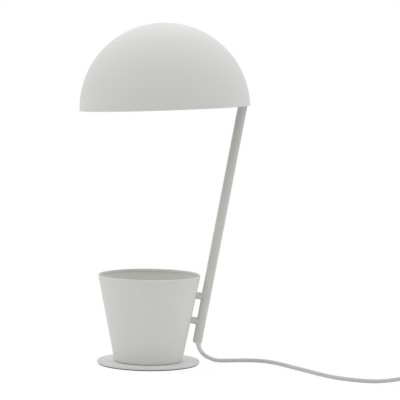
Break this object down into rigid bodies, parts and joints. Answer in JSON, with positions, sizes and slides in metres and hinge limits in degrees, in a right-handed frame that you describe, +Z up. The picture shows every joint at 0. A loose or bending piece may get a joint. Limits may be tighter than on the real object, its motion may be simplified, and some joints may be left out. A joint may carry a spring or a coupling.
{
  "type": "desk lamp",
  "caption": "Desk lamp with a tilting domed metal shade on a leaning tube, tied by short stubs to a tapered pen cup on a round base, with a cord, an in-line switch and a plug.",
  "frame": {"origin": "middle of the base pad's flat underside, on the table", "axes": "+Z up, +X towards the leaning tube, the front seen in the picture faces -Y"},
  "size_m": [0.5485, 0.2487, 0.4017],
  "materials": {
    "white_coat": "matt powder coat",
    "foam": "foam pad",
    "zinc": "zinc plated",
    "brass": "plain",
    "white_plastic": "moulded",
    "ceramic": "ceramic",
    "opal_glass": "opal",
    "black_glass": "vitrified insulator",
    "cord": "moulded sheath",
    "core_brown": "moulded",
    "core_blue": "moulded",
    "nickel": "plated",
    "black_tie": "moulded"
  },
  "bodies": {
    "stand": {"base_disc": "white_coat", "pen_cup": "white_coat", "lower_stub": "white_coat", "upper_stub": "white_coat", "stem_tube": "white_coat", "base_pad": "foam", "foot_screw": "zinc", "foot_washer": "zinc", "foot_cap_nut": "zinc", "lower_stub_screw": "zinc", "upper_stub_screw": "zinc", "lower_stub_washer": "zinc", "upper_stub_washer": "zinc", "stem_knuckle": "zinc", "stem_pin": "zinc", "friction_washer": "zinc", "tilt_spring_washer": "zinc", "tilt_screw": "zinc", "first_switch_screw": "zinc", "second_switch_screw": "zinc", "switch_axle": "zinc", "switch_contact": "brass", "cord_bush": "white_plastic", "switch_base": "white_plastic", "switch_cover": "white_plastic", "plug_body": "white_plastic", "stem_lead": "cord", "cord_lead": "cord", "cord_link": "cord", "cord_coil": "cord", "cord_tail": "cord", "stem_core_brown": "core_brown", "stem_core_blue": "core_blue", "left_plug_pin": "nickel", "right_plug_pin": "nickel", "cord_tie": "black_tie"},
    "shade": {"shade_dome": "white_coat", "shade_bracket": "white_coat", "lower_bracket_washer": "zinc", "upper_bracket_washer": "zinc", "lower_bracket_nut": "zinc", "upper_bracket_nut": "zinc", "holder_nipple": "zinc", "holder_washer": "zinc", "holder_locknut": "zinc", "lampholder_cap": "white_plastic", "lampholder_barrel": "white_plastic", "lampholder_core": "ceramic", "lampholder_shell": "brass", "lampholder_tongue": "brass", "first_terminal_screw": "brass", "second_terminal_screw": "brass", "bulb_glass": "opal_glass", "bulb_cap": "zinc", "bulb_insulator": "black_glass", "bulb_contact": "zinc", "shade_core_brown": "core_brown", "shade_core_blue": "core_blue"},
    "rocker": {"switch_rocker": "white_plastic"}
  },
  "joints": [
    {"name": "shade_tilt", "type": "hinge", "parent": "stand", "child": "shade", "pos_m": [0.10197, 0, 0.3229], "axis": [0, -1, 0], "range_deg": [-4.5, 25]},
    {"name": "switch_rocker_turn", "type": "hinge", "parent": "stand", "child": "rocker", "pos_m": [0.32, -0.131, 0.0098], "axis": [0, -1, 0], "range_deg": [0, 16]}
  ]
}
